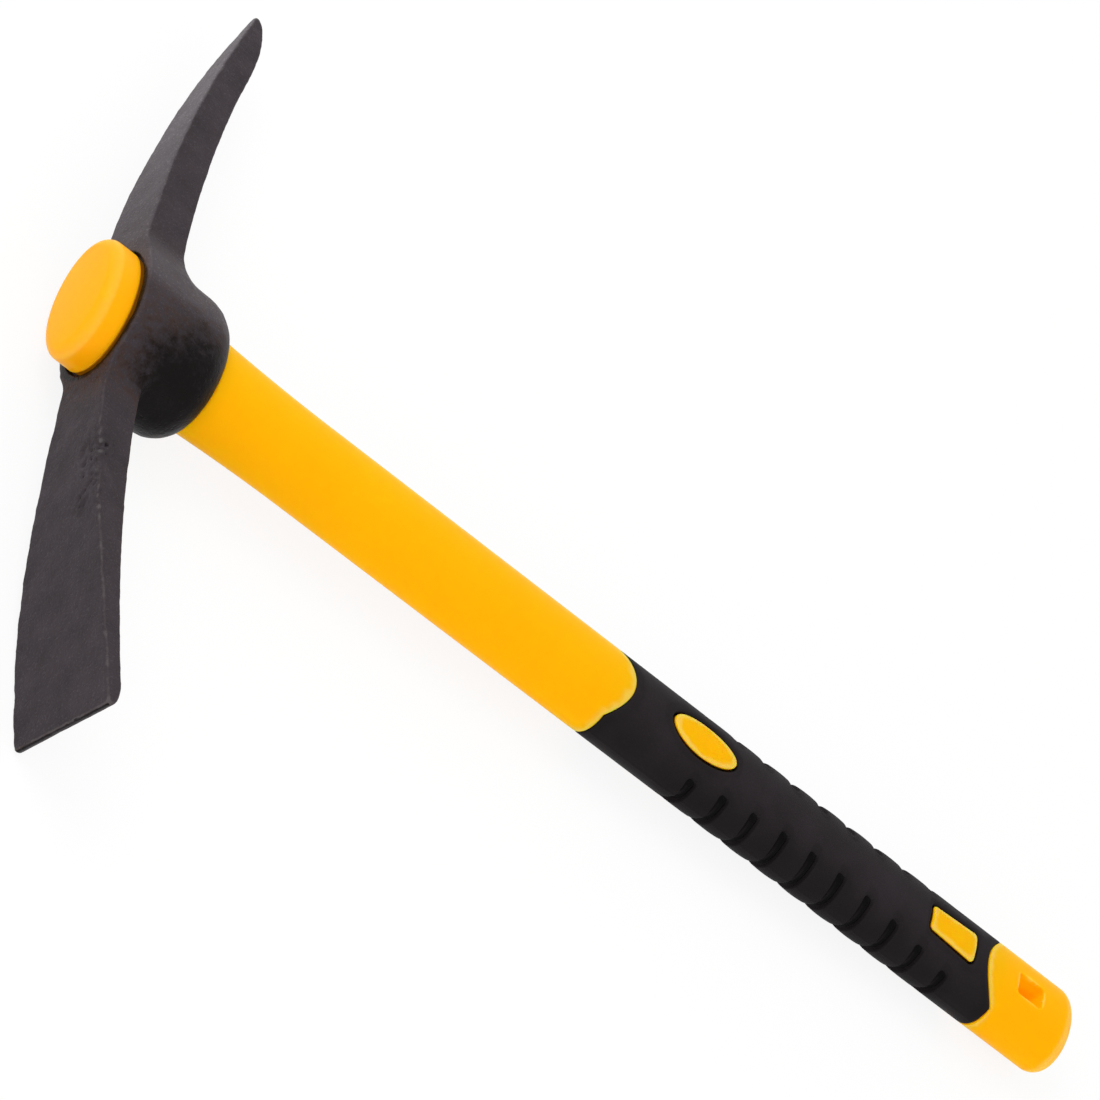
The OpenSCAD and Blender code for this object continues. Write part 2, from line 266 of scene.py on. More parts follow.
def add_object(name, data):
    """A new object in the scene."""
    item = bpy.data.objects.new(name, data)
    bpy.context.scene.collection.objects.link(item)
    return item


def run_tree(tree, mesh, sizes):
    """Runs a tree on a mesh with these sizes and returns the result as a plain mesh in millimetres."""
    maker = add_object(tree.name + "_maker", mesh)
    modifier = maker.modifiers.new("nodes", "NODES")
    modifier.node_group = tree
    for item in tree.interface.items_tree:
        if item.in_out == "INPUT" and item.name in sizes:
            modifier[item.identifier] = float(sizes[item.name])
    bpy.context.view_layer.update()
    graph = bpy.context.evaluated_depsgraph_get()
    result = bpy.data.meshes.new_from_object(maker.evaluated_get(graph), depsgraph=graph)
    bpy.data.objects.remove(maker)
    return result


def place_piece(name, mesh, material):
    """Moves a mesh from the tool's millimetres into the frame and makes it an object at the origin."""
    mesh.name = name
    mesh.transform(to_frame)
    mesh.materials.clear()
    mesh.materials.append(material)
    piece = add_object(name + "_piece", mesh)
    mesh.calc_loop_triangles()
    print(f"{piece.name}: {len(mesh.vertices)} points, {len(mesh.loop_triangles)} triangles")
    return piece

# %% [markdown]
# ## Effects that several materials share
# Nothing on a used tool has one flat colour. Steel, plastic and rubber all vary in clouds and fine grain,
# show small specks, and are rubbed lighter along their edges. Each of these effects is a shader group
# with its sizes in millimetres as named inputs, and the materials below differ in how they mix them. The
# worn edges read the attribute that the geometry trees store: how far a point stands out from its
# smoothed surroundings.

# %% Effects that several materials share
def start_group(name, inputs, outputs):
    """A new shader group with named numbers going in and named values coming out."""
    group = bpy.data.node_groups.new(name, "ShaderNodeTree")
    _, fields = number_inputs(group, inputs)
    for label in outputs:
        group.interface.new_socket(label, in_out="OUTPUT", socket_type="NodeSocketFloat")
    return group, fields, group.nodes.new("NodeGroupOutput")


def millimetres(tree):
    """The place on the object, in millimetres."""
    place = add_node(tree, "ShaderNodeTexCoord").outputs["Object"]
    return add_node(tree, "ShaderNodeVectorMath", {0: place, "Scale": 1000.0}, operation="SCALE").outputs[0]


def noise(tree, place, scale, detail):
    """Smooth noise between 0 and 1."""
    made = add_node(tree, "ShaderNodeTexNoise", {"Vector": place, "Scale": scale, "Detail": detail})
    return Field(tree, made.outputs[0])


def stored_value(tree, label):
    """A value that a geometry tree has stored under a name."""
    return Field(tree, add_node(tree, "ShaderNodeAttribute", attribute_name=label).outputs["Fac"])


def surface_grain():
    """Clouds of tone and a fine grain."""
    sizes = {"Cloud Size": 20.0, "Grain Size": 0.6, "Grain Share": 0.3}
    group, size, leave = start_group("surface_grain", sizes, ("Tone", "Height"))
    place = millimetres(group)
    cloud = noise(group, place, size["Cloud Size"] ** -1.0, 4.0)
    grain = noise(group, place, size["Grain Size"] ** -1.0, 2.0)
    feed(group, leave.inputs["Tone"], cloud + (grain - cloud) * size["Grain Share"])
    feed(group, leave.inputs["Height"], grain)
    return group


def specks():
    """Small spots: 1 where the noise rises over a level."""
    sizes = {"Size": 1.0, "Level": 0.65, "Softness": 0.08}
    group, size, leave = start_group("specks", sizes, ("Mask",))
    spots = noise(group, millimetres(group), size["Size"] ** -1.0, 1.0)
    feed(group, leave.inputs["Mask"], spots.rise(size["Level"], over=size["Softness"]))
    return group


def worn_edge():
    """Rubbed edges: Mask is 1 where the surface stands out, broken up by noise, Hollow where it lies back."""
    sizes = {"From": 0.02, "To": 0.08, "Break Size": 3.0, "Break": 0.5}
    group, size, leave = start_group("worn_edge", sizes, ("Mask", "Hollow"))
    edge = stored_value(group, "edge")
    gaps = (noise(group, millimetres(group), size["Break Size"] ** -1.0, 3.0) - 0.5) * size["Break"] * 2.0
    rise = (edge - size["From"]) / (size["To"] - size["From"])
    feed(group, leave.inputs["Mask"], (rise + gaps * rise.clamp()).ease())
    feed(group, leave.inputs["Hollow"], (-edge).rise(size["From"], over=size["To"] - size["From"]))
    return group


def streaks():
    """Noise drawn out along the handle."""
    sizes = {"Length": 40.0, "Width": 0.4}
    group, size, leave = start_group("streaks", sizes, ("Tone",))
    x, y, z = split(group, millimetres(group))
    drawn = join(group, x / size["Length"], y / size["Width"], z / size["Width"])
    feed(group, leave.inputs["Tone"], noise(group, drawn, 1.0, 2.0))
    return group


grain_group = surface_grain()
speck_group = specks()
wear_group = worn_edge()
streak_group = streaks()
print("shader groups:", [group.name for group in bpy.data.node_groups])

# %% [markdown]
# ## The materials
# Each material starts from its base colour, lets the shared effects move colour and roughness about, and
# adds a bump far smaller than any real shape. What is constant is set on the shader itself.

# %% Helpers for the materials
def new_material(name):
    """A material, its node tree and its shader."""
    material = bpy.data.materials.new(name)
    material.use_nodes = True
    return material, material.node_tree, material.node_tree.nodes["Principled BSDF"]


def effect(tree, group, **sizes):
    """Uses a shader group; its sizes are given with underscores. Returns its outputs as fields."""
    inputs = {label.replace("_", " "): value for label, value in sizes.items()}
    node = add_node(tree, "ShaderNodeGroup", inputs, node_tree=group)
    return {out.name: Field(tree, out) for out in node.outputs}


def blend_colours(tree, share, first, second):
    """A colour between two, each a red, green and blue or a socket."""
    mix = tree.nodes.new("ShaderNodeMix")
    mix.data_type = "RGBA"
    feed(tree, mix.inputs["Factor"], share)
    for label, colour in (("A_Color", first), ("B_Color", second)):
        slot = next(item for item in mix.inputs if item.identifier == label)
        feed(tree, slot, (*colour, 1.0) if isinstance(colour, tuple) else colour)
    return next(out for out in mix.outputs if out.identifier == "Result_Color")


def coats(tree, base, *layers):
    """A colour built up from the bottom: each layer is a share and the colour that it lays over the rest."""
    for share, colour in layers:
        base = blend_colours(tree, share, base, colour)
    return base


def set_shader(tree, shader, inputs):
    """Links or sets the shader's inputs by name."""
    for label, value in inputs.items():
        feed(tree, shader.inputs[label], value)


def bump(tree, height, strength, depth_mm):
    """Fine relief for a shader's normal."""
    sizes = {"Strength": strength, "Distance": depth_mm * MM, "Height": height}
    return add_node(tree, "ShaderNodeBump", sizes).outputs[0]

# %% [markdown]
# ### Forged steel
# The head is coated with a dark, slightly brown scale from the forge. It is speckled where the scale has
# flaked, the long ridges are rubbed to a lighter grey, painted shade lies in black patches round the eye
# and dirt in the dents. The colour is built up one coat over the other, and the painted shade, the scoured
# places and a painted sheen on the eye come from attributes of the head's mesh.

# %% Forged steel
def forged_steel():
    material, tree, shader = new_material("forged_steel")
    dark_scale, light_scale = (0.031, 0.0250, 0.0275), (0.053, 0.041, 0.0485)
    wrinkle_grey, rust_brown = (0.036, 0.029, 0.034), (0.052, 0.031, 0.026)
    bare_steel_and_sheen, rubbed_steel = (0.185, 0.168, 0.180), (0.13, 0.115, 0.115)
    painted_shade_black, old_dirt = (0.002, 0.0012, 0.0015), (0.009, 0.006, 0.007)
    clouds = effect(tree, grain_group, Cloud_Size=9.0, Grain_Size=0.7, Grain_Share=0.3)
    wrinkles = effect(tree, grain_group, Cloud_Size=2.6, Grain_Size=0.5, Grain_Share=0.3)
    flakes = effect(tree, speck_group, Size=0.65, Level=0.58, Softness=0.14)["Mask"]
    pits = effect(tree, speck_group, Size=1.7, Level=0.62, Softness=0.1)["Mask"]
    ridge = effect(tree, wear_group, From=0.07, To=0.15, Break_Size=2.2, Break=2.0)
    # painted shade: black patches on the eye where shade falls, and thin dark lines at the cutting edge and
    # round the cap
    painted_shade = stored_value(tree, "painted_shade")
    scour_and_sheen = stored_value(tree, "scour_and_sheen")
    tone = clouds["Tone"].stretch(0.32, 0.68)
    rust = wrinkles["Tone"].stretch(0.44, 0.58) * (painted_shade * 2.5).clamp()
    # lighter steel where scoured, in flaked specks, and as a painted sheen on the eye's side towards the pick
    bare_and_sheen = (scour_and_sheen * flakes.lifted(0.5) + flakes * 0.1).clamp()
    # where the painted shade is strong, the steel turns black in patches
    shade_patches = (painted_shade + clouds["Tone"] * 0.8 + wrinkles["Tone"] * 0.9).rise(1.12, over=0.65)
    skin = coats(tree, dark_scale, (tone, light_scale), (wrinkles["Tone"] * 0.6, wrinkle_grey),
                 (rust * 0.9, rust_brown), (bare_and_sheen, bare_steel_and_sheen), (shade_patches * 0.95, painted_shade_black),
                 (ridge["Mask"] * (1.0 - shade_patches) * 0.4, rubbed_steel), (ridge["Hollow"] * 0.6, old_dirt))
    height = clouds["Height"] * 0.3 + wrinkles["Tone"] * 1.4 + flakes * 0.2 - pits * 0.6
    set_shader(tree, shader, {
        "Base Color": skin, "Roughness": 0.58 - tone * 0.08 - shade_patches * 0.12, "Specular IOR Level": 0.10,
        "Metallic": 0.12, "Normal": bump(tree, height, strength=0.45, depth_mm=0.40)})
    return material


steel = forged_steel()

# %% [markdown]
# ### Yellow plastic
# The jacket and the cap are moulded in a warm yellow. The surface is half glossy with a faint orange
# peel, and handling has left fine rub marks along the handle that only show in the highlights. Painted
# shade, with a dark stain at the cap's foot, darkens the narrow gaps round the grip's windows and under
# the cap, and a painted orange glow lights the inside of the hang slot and the side of the cap.

# %% Yellow plastic
def yellow_plastic(name, colour, shade, glow_depth, shine):
    material, tree, shader = new_material(name)
    worn_yellow, gap_shade_and_stain, painted_glow_orange = (0.97, 0.66, 0.18), (0.020, 0.007, 0.003), (1.0, 0.33, 0.0)
    clouds = effect(tree, grain_group, Cloud_Size=35.0, Grain_Size=0.9, Grain_Share=0.25)
    rubs = effect(tree, streak_group, Length=30.0, Width=0.5)["Tone"]
    ridge = effect(tree, wear_group, From=0.07, To=0.17, Break_Size=1.5, Break=0.3)["Mask"]
    tone = clouds["Tone"].stretch(0.3, 0.7)
    # painted shade in the narrow gaps round the windows and at the cap's foot, with a dark stain there too
    shade_and_stain_mask = stored_value(tree, "drop").rise(0.4, over=0.4)
    skin = coats(tree, shade, (tone, colour), (ridge * 0.35, worn_yellow), (shade_and_stain_mask * 0.97, gap_shade_and_stain))
    # a painted orange glow where no lamp shines: inside the hang slot and on the cap's side
    glow = coats(tree, (0.0, 0.0, 0.0), (stored_value(tree, "painted_glow"), painted_glow_orange))
    set_shader(tree, shader, {
        "Base Color": skin, "Roughness": 0.28 + tone * 0.05 + rubs * 0.12, "Specular IOR Level": shine,
        "Subsurface Weight": 0.65, "Subsurface Radius": (1.0, 0.30, 0.02),
        "Subsurface Scale": glow_depth * MM, "Emission Color": glow, "Emission Strength": 0.4,
        "Normal": bump(tree, clouds["Height"] + rubs * 0.6, strength=0.10, depth_mm=0.12)})
    return material


yellow = yellow_plastic("yellow_plastic", colour=(0.945, 0.440, 0.001), shade=(0.930, 0.415, 0.001),
                        glow_depth=8.0, shine=0.02)
cap_yellow = yellow_plastic("cap_plastic", colour=(0.955, 0.405, 0.001), shade=(0.940, 0.378, 0.001),
                            glow_depth=5.0, shine=0.06)

# %% [markdown]
# ### Black rubber
# The grip is a soft rubber with a matt, finely grained skin. Dust greys the grain of the upper side, and a
# painted light makes that side lighter than the lower one, which keeps the clean dark rubber. Painted shade
# keeps the lips of the edges black and the finger grooves dark.

# %% Black rubber
def black_rubber():
    material, tree, shader = new_material("black_rubber")
    clean_rubber, lit_dusty_rubber = (0.0040, 0.0031, 0.0033), (0.0245, 0.0200, 0.0230)
    dust_grey, lip_shade_black = (0.040, 0.034, 0.037), (0.003, 0.0022, 0.0025)
    groove_shade_black = (0.001, 0.0008, 0.0009)
    clouds = effect(tree, grain_group, Cloud_Size=14.0, Grain_Size=0.45, Grain_Share=0.35)
    dust = effect(tree, speck_group, Size=0.6, Level=0.64, Softness=0.12)["Mask"]
    lips = effect(tree, wear_group, From=0.02, To=0.10, Break_Size=1.2, Break=0.5)
    # the upper cheek gets a painted light as well as dust
    upper = stored_value(tree, "upper").clamp()
    tone = clouds["Tone"].stretch(0.3, 0.7).lifted(0.5) * upper
    # painted shade: black on the lips of the edges and dark in the finger grooves
    skin = coats(tree, clean_rubber, (tone, lit_dusty_rubber), (dust * upper * 0.2, dust_grey),
                 (lips["Hollow"] * 0.8, groove_shade_black), (lips["Mask"] * 0.18, lip_shade_black))
    set_shader(tree, shader, {
        "Base Color": skin, "Roughness": 0.50 + tone * 0.10 + lips["Mask"] * 0.10, "Specular IOR Level": 0.06,
        "Normal": bump(tree, clouds["Height"] + dust * 0.3, strength=0.30, depth_mm=0.12)})
    return material


rubber = black_rubber()

# %% [markdown]
# ### Fibreglass and resin
# The core is a pulled rod, so its fibres run along it. The resin that fills the eye is cloudy and amber.
# Both are hidden in the whole tool and show when the pieces are taken apart.

# %% Fibreglass and resin
def fibreglass():
    material, tree, shader = new_material("fibreglass")
    fibres = effect(tree, streak_group, Length=60.0, Width=0.25)["Tone"]
    clouds = effect(tree, grain_group, Cloud_Size=25.0, Grain_Size=0.4, Grain_Share=0.2)
    rod = coats(tree, (0.44, 0.40, 0.25), (fibres, (0.70, 0.66, 0.47)))
    set_shader(tree, shader, {
        "Base Color": rod, "Roughness": 0.30 + clouds["Tone"] * 0.25,
        "Normal": bump(tree, fibres, strength=0.30, depth_mm=0.15)})
    return material


def cured_resin():
    material, tree, shader = new_material("resin")
    clouds = effect(tree, grain_group, Cloud_Size=9.0, Grain_Size=0.8, Grain_Share=0.3)
    bubbles = effect(tree, speck_group, Size=1.3, Level=0.68, Softness=0.05)["Mask"]
    amber, honey, pale = (0.16, 0.11, 0.05), (0.30, 0.23, 0.12), (0.48, 0.42, 0.30)
    cloudy = coats(tree, amber, (clouds["Tone"], honey), (bubbles * 0.6, pale))
    set_shader(tree, shader, {
        "Base Color": cloudy, "Roughness": 0.22 + clouds["Tone"] * 0.2,
        "Normal": bump(tree, clouds["Height"] - bubbles * 0.5, strength=0.20, depth_mm=0.2)})
    return material


for node_name, finish in (("handle_core", fibreglass()), ("eye_bond", cured_resin())):
    for socket in frame["nodes"][node_name].material_slots:
        socket.material = finish

# %% [markdown]
# ## The forged head
# A forging has no seams: the pick, the blade and the eye flow into each other with wide fillets. Joining
# separate solids and rounding every edge afterwards is fragile, so the head is described as a distance
# instead. At any point a formula says how far the steel's surface is, negative inside. Two shapes melt
# together with a soft minimum, and the bore is taken out with a maximum. A volume samples the formula,
# and the surface where it is zero becomes the mesh.

# %% The head's sizes and distances
pick = {"Pick Reach": 129.5, "Pick Drop": 19.4, "Pick Width": 20.5, "Pick Thickness": 14.2,
        "Point Width": 4.8, "Point Thickness": 9.8, "Point Length": 32.0, "Pick Fillet": 9.0}
blade = {"Blade Reach": 129.0, "Blade Drop": 23.8, "Blade Width": 19.0, "Edge Width": 39.5,
         "Blade Thickness": 12.8, "Edge Thickness": 5.2, "Bevel Length": 8.0, "Corner Length": 4.0,
         "Corner Cut": 1.0, "Blade Fillet": 6.0}
eye = {"Eye Top": eye_top, "Eye End": eye_end, "Eye Width": eye_w, "Eye Thickness": eye_t,
       "Rim Width": mouth_w + 2 * rim_wall, "Rim Thickness": mouth_t + 2 * rim_wall, "Shoulder": shoulder_len,
       "Bore Top Width": bore_top_w, "Bore Top Thickness": bore_top_t, "Mouth Width": mouth_w,
       "Mouth Thickness": mouth_t, "Arm Round": 0.9, "Rim Round": rim_round,
       "Recess Width": cap_w + 2 * cap_gap, "Recess Thickness": cap_t + 2 * cap_gap,
       "Recess Depth": cap_sunk + 0.3}
head_sizes = {**pick, **blade, **eye}
head_tree, _, size = start_tree("forged_head", head_sizes)
x, y, z = split(head_tree, position(head_tree))


def on_the_way(first, last, share):
    """A size on the way from one to another."""
    return size[first] + (size[last] - size[first]) * share


def oval_gap(across, through, half_w, half_t):
    """Distance from an oval's outline, negative inside."""
    ratio = ((across / half_w) ** 2.0 + (through / half_t) ** 2.0).root()
    slope = ((across / (half_w * half_w)) ** 2.0 + (through / (half_t * half_t)) ** 2.0).root()
    return ratio * (ratio - 1.0) / slope.max(0.0001)


def bar_gap(depth, side, half_depth, half_side, rounding):
    """Distance from a bar's rounded outline, negative inside."""
    over_depth = abs(depth) - half_depth + rounding
    over_side = abs(side) - half_side + rounding
    outside = (over_depth.max(0.0) ** 2.0 + over_side.max(0.0) ** 2.0).root()
    return outside + over_depth.max(over_side).min(0.0) - rounding


def forged(scale, depth):
    """The unevenness that hammer and die leave."""
    made = add_node(head_tree, "ShaderNodeTexNoise", {"Scale": scale, "Detail": 2.0, "Roughness": 0.5})
    return (Field(head_tree, made.outputs[0]) - 0.5) * depth


print("sizes that shape the head:", len(head_sizes))

# %% [markdown]
# ### The eye and the arms
# The eye is an oval barrel that draws in to its lower rim over a rounded shoulder. Both arms start inside
# it and widen towards its cheeks, a little less than the wall there, so that they seem to grow out of it.
# An arm is a bar that bends towards the handle along a power curve, and its outer ridges wander a little,
# as drawn steel does. The pick narrows to a ground point, and the blade thins while it spreads to its
# cutting edge.

# %% The eye and the arms
shoulder = ((x - size["Eye End"] + size["Shoulder"]) / size["Shoulder"]).clamp() ** 3.0
half_w = on_the_way("Eye Width", "Rim Width", shoulder) * 0.5
half_t = on_the_way("Eye Thickness", "Rim Thickness", shoulder) * 0.5
ends = (size["Eye Top"] - x).max(x - size["Eye End"])
barrel = oval_gap(y, z, half_w, half_t).soft_max(ends, size["Rim Round"] * 2.0)

wander = forged(scale=0.13, depth=1.7)
root_share, root_blend, root_inset = 0.34, 11.0, 1.2
arm_root = size["Eye Width"] * root_share
root_half = size["Eye Thickness"] * (0.5 * math.sqrt(1 - (2 * root_share) ** 2)) - root_inset
pick_bend, pick_taper = 2.0, 1.3
blade_bend, blade_spread = 1.68, 1.85
end_round = 0.4


def arm_share(arm, out):
    """The way along an arm, from 0 at its root to 1; out is the distance from the handle's axis."""
    return ((out - arm_root) / (size[arm + " Reach"] - arm_root)).clamp()


def last_part(arm, out, length):
    """0 until the last stretch of an arm, and from there up to 1 at its end."""
    return (1.0 - (size[arm + " Reach"] - out) / size[length]).clamp()


def arm_gap(arm, out, bend, half_side, thickness):
    """Distance from one arm."""
    drop, reach, share = size[arm + " Drop"], size[arm + " Reach"], arm_share(arm, out)
    extra = (root_half - half_side) * (1.0 - (out - arm_root) / root_blend).clamp() ** 2.0
    slope = drop * bend * share.max(0.001) ** (bend - 1.0) / (reach - arm_root)
    tilt = (slope * slope + 1.0) ** -0.5
    middle = size["Eye Top"] + drop * share ** bend + thickness * 0.5
    rounding = size["Arm Round"].min(thickness * 0.45)
    wavy = wander * (0.5 - (x - middle) / thickness).clamp()
    gap = bar_gap((x - middle) * tilt, z + wavy, thickness * 0.5 * tilt, half_side + extra, rounding)
    return gap.soft_max(out - reach, end_round).max(-out)


def rounded_end(ground, left):
    """What is left of a size on the way to a rounded end: all of it at 0, the given share at 1."""
    return (1.0 - ground * ground * (1.0 - left ** 2)).root()


pick_share = arm_share("Pick", y)
ground = last_part("Pick", y, "Point Length")
pick_half = on_the_way("Point Width", "Pick Width", 1.0 - pick_share ** pick_taper) * 0.5
pick_half = pick_half * rounded_end(ground, left=0.45)
shank_share = (pick_share / (1.0 - size["Point Length"] / (size["Pick Reach"] - arm_root))).min(1.0)
pick_thick = on_the_way("Pick Thickness", "Point Thickness", shank_share) * rounded_end(ground, left=0.14)
pick_arm = arm_gap("Pick", y, pick_bend, pick_half, pick_thick)

blade_share = arm_share("Blade", -y)
bevel = last_part("Blade", -y, "Bevel Length")
corner = last_part("Blade", -y, "Corner Length")
spread = (blade_share * (math.pi / 2)).sin() ** blade_spread
blade_half = on_the_way("Blade Width", "Edge Width", spread) * 0.5
blade_half = blade_half - size["Corner Cut"] * (1.0 - rounded_end(corner, left=0.0))
thinning = (blade_share * math.pi).cos() * 0.5 + 0.5
blade_thick = on_the_way("Edge Thickness", "Blade Thickness", thinning) * rounded_end(bevel, left=0.1)
blade_arm = arm_gap("Blade", -y, blade_bend, blade_half, blade_thick)
print("nodes in the head's tree so far:", len(head_tree.nodes))

# %% [markdown]
# ### One forging
# The barrel and the arms melt together, the hammer leaves shallow dents all over and deeper marks beside
# the blade's ridge, and then the bore is cut, with a shallow recess in the rim for the cap. The volume
# that samples the result is finer across the arms than along them, where little changes.

# %% One forging
bore_round, recess_round = 0.8, 0.5
gouge_y, gouge_reach, gouge_end = -58.0, 9.0, 20.0

bore_share = (size["Eye End"] - x) / (size["Eye End"] - size["Eye Top"])
bore_w = on_the_way("Mouth Width", "Bore Top Width", bore_share) * 0.5
bore_t = on_the_way("Mouth Thickness", "Bore Top Thickness", bore_share) * 0.5
bore = oval_gap(y, z, bore_w, bore_t)
steel_gap = barrel.soft_min(pick_arm, size["Pick Fillet"]).soft_min(blade_arm, size["Blade Fillet"])
steel_gap = steel_gap.soft_max(size["Eye Top"] - x, size["Rim Round"])
dents = forged(scale=0.16, depth=0.35)
nicks = forged(scale=0.45, depth=0.28)
gouged = (2.0 - abs(y - gouge_y) / gouge_reach).ease() * z.rise(2.0, over=5.0)
gouges = forged(scale=0.5, depth=5.0).min(0.0) * (gouged * ((gouge_end - x) / 3.0).clamp())
steel_gap = (steel_gap - dents - nicks - gouges).soft_max(-bore, bore_round)
cap_side = oval_gap(y, z, size["Recess Width"] * 0.5, size["Recess Thickness"] * 0.5)
recess = cap_side.max(x - size["Eye Top"] - size["Recess Depth"])
steel_gap = steel_gap.soft_max(-recess, recess_round)

low = (eye_top - 2.0, -131.0, -22.0)
high = (eye_end + 4.0, 131.0, 22.0)
voxel = (0.42, 0.9, 0.42)
volume = add_node(head_tree, "GeometryNodeVolumeCube",
                  {"Density": -steel_gap, "Background": -1.0, "Min": low, "Max": high})
for axis, first, last, step in zip("XYZ", low, high, voxel):
    volume.inputs["Resolution " + axis].default_value = round((last - first) / step)
surface = add_node(head_tree, "GeometryNodeVolumeToMesh", {"Volume": volume.outputs[0], "Threshold": 0.0},
                   resolution_mode="GRID")
print("samples along x, y and z:", [volume.inputs["Resolution " + axis].default_value for axis in "XYZ"])

# %% [markdown]
# ### Painted shade, wear and painted sheen on the head
# Painted shade darkens the eye in black patches, more towards the blade and the handle, and thins out along
# the arms. A thin line of painted shade runs along the cutting edge and round the cap. The outer face of the
# pick is scoured by the ground, more so towards its point, and a painted sheen lightens the eye's side
# towards the pick. Both are worked out where the distances are at hand, and stored on the mesh for the
# material.

# %% Painted shade, wear and painted sheen on the head
shade_reach, sheen_reach = 13.0, 6.0
# painted shade: darker towards the blade's side and towards the handle
to_blade = y.fall(15.0, over=32.0)
to_handle = (x - size["Eye Top"]).rise(1.0, over=20.0)
painted_shade = (1.0 - barrel / shade_reach).ease() * to_blade.lifted(0.25) * to_handle.lifted(0.42)
# a thin line of painted shade along the cutting edge, where its underside lies in shade
painted_shade = painted_shade.max((-y - size["Blade Reach"]).rise(-0.5, over=0.3) * 0.9)
# a ring of painted shade on the rim round the cap's foot
foot_line = 2.6 - 1.4 * y.rise(4.0, over=12.0)
painted_shade = painted_shade.max(cap_side.fall(foot_line, over=1.2) * ((size["Eye Top"] + 1.5 - x) / 0.5).clamp())
painted = store(head_tree, surface.outputs[0], "painted_shade", painted_shade)
facing = split(head_tree, add_node(head_tree, "GeometryNodeInputNormal").outputs[0])[0]
scour_and_sheen = (-facing).rise(0.45, over=0.4) * y.rise(20.0, over=80.0).lifted(0.4) * y.rise(16.0, over=10.0)
# a painted sheen on the eye's side towards the pick, kept together with the scoured places
scour_and_sheen = scour_and_sheen.max((1.0 - barrel / sheen_reach).clamp() * y.rise(2.0, over=9.0) * 0.42)
finish_tree(head_tree, store(head_tree, painted, "scour_and_sheen", scour_and_sheen), steel, blur_steps=4)
head_mesh = run_tree(head_tree, bpy.data.meshes.new("head_seed"), head_sizes)
head = place_piece("mattock_head", head_mesh, steel)
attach(head, "root")
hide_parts("mattock_head")

# %% [markdown]
# ## Outlines on the handle's cheek
# The jacket and the rubber grip share one oval surface, and what makes them look right is where their
# outlines run: two curved grip ends, two windows and the hang slot. The functions below give those
# outlines as seen on the cheek, with x along the handle and y across it. Moving an outline outwards or
# inwards by a little gives the rows of points that a rounded lip needs.

# %% Outlines on the handle's cheek
front_scallop, rear_scallop, scallop_w = 5.7, 7.6, 24.6
oval_len, oval_w, oval_from = 26.0, 11.6, 35.0
plate_len, plate_w, plate_narrow, plate_round, plate_from = 19.4, 11.0, 9.0, 1.6, 22.8
oval_x = grip_front + oval_from
plate_x = grip_rear - plate_from


def scallop(y):
    """How far a curved end of the grip has come in at a height y on the cheek: 1 in its middle, 0 outside."""
    return np.maximum(0.0, 1.0 - (2.0 * y / scallop_w) ** 2)


def front_edge(y):
    """Where the grip starts along the handle."""
    return grip_front + front_scallop * scallop(y)


def rear_edge(y):
    """Where the grip ends."""
    return grip_rear - rear_scallop * scallop(y)


def oval_outline(grow, count=72):
    """Points round the oval window, moved outwards by grow."""
    angle = np.arange(count) * 2.0 * np.pi / count
    return np.stack([oval_x + (oval_len / 2 + grow) * np.cos(angle), (oval_w / 2 + grow) * np.sin(angle)], 1)


def four_sided(centre, length, wide, narrow, rounding, grow, side_step=1.0, corner_points=6):
    """Points round a four-sided outline with rounded corners; its narrow end is towards the head."""
    reach = length / 2 - rounding
    corners = [(reach, wide / 2 - rounding), (-reach, narrow / 2 - rounding)]
    corners += [(along, -across) for along, across in reversed(corners)]
    points = []
    for quarter, (along, across) in enumerate(corners):
        for angle in np.radians(90.0 * quarter + np.linspace(0.0, 90.0, corner_points)):
            points.append((centre + along + (rounding + grow) * np.cos(angle),
                           across + (rounding + grow) * np.sin(angle)))
    filled = []
    for start, end in zip(points, points[1:] + points[:1]):
        count = max(1, round(math.dist(start, end) / side_step))
        filled += [np.add(start, np.subtract(end, start) * i / count) for i in range(count)]
    return np.array(filled)


def plate_outline(grow):
    return four_sided(plate_x, plate_len, plate_w, plate_narrow, plate_round, grow)


def slot_outline(grow):
    return four_sided(slot_x, slot_len, slot_w, slot_w, slot_round, grow)


def inside(outline, points):
    """Which points lie inside a closed outline."""
    x, y = points[:, 0], points[:, 1]
    hit = np.zeros(len(points), bool)
    for (x0, y0), (x1, y1) in zip(outline, np.roll(outline, -1, 0)):
        if y0 != y1:
            hit ^= ((y0 > y) != (y1 > y)) & (x < x0 + (y - y0) * (x1 - x0) / (y1 - y0))
    return hit


print("points round the oval window, the plate and the slot:",
      [len(outline(0.0)) for outline in (oval_outline, plate_outline, slot_outline)])

# %% [markdown]
# ## Cutting a flat pattern
# Cutting outlines out of a finished tube leaves ragged edges. So each piece is cut flat first, like a
# leather wrap: rows of points along every outline, a regular net elsewhere, and a triangulation that
# keeps the cut lines. On the sheet one direction is millimetres along the handle, the other the angle
# round it times a mean radius. Each point also says how far it lies below the handle's full size. One
# half is drawn, for the upper cheek, and mirrored for the lower one.

# %% Cutting a flat pattern
mean_radius = 13.0
column_step = 2.5
columns = np.radians(np.arange(-90.0, 90.1, column_step))
column_y = handle_w / 2 * np.sin(columns)
lip_rows = (0.0, 0.12, 0.35, 0.75)
clear = 1.05


def lip(distance, rounding):
    """How far a rounded lip drops at a distance from its edge."""
    short = max(0.0, rounding - distance)
    return rounding - math.sqrt(rounding ** 2 - short ** 2)


def to_sheet(points):
    """From the cheek to the sheet."""
    angle = np.arcsin(np.clip(2.0 * points[:, 1] / handle_w, -1.0, 1.0))
    return np.stack([points[:, 0], mean_radius * angle], 1)


def to_cheek(sheet):
    """From the sheet to the cheek."""
    return np.stack([sheet[:, 0], handle_w / 2 * np.sin(sheet[:, 1] / mean_radius)], 1)


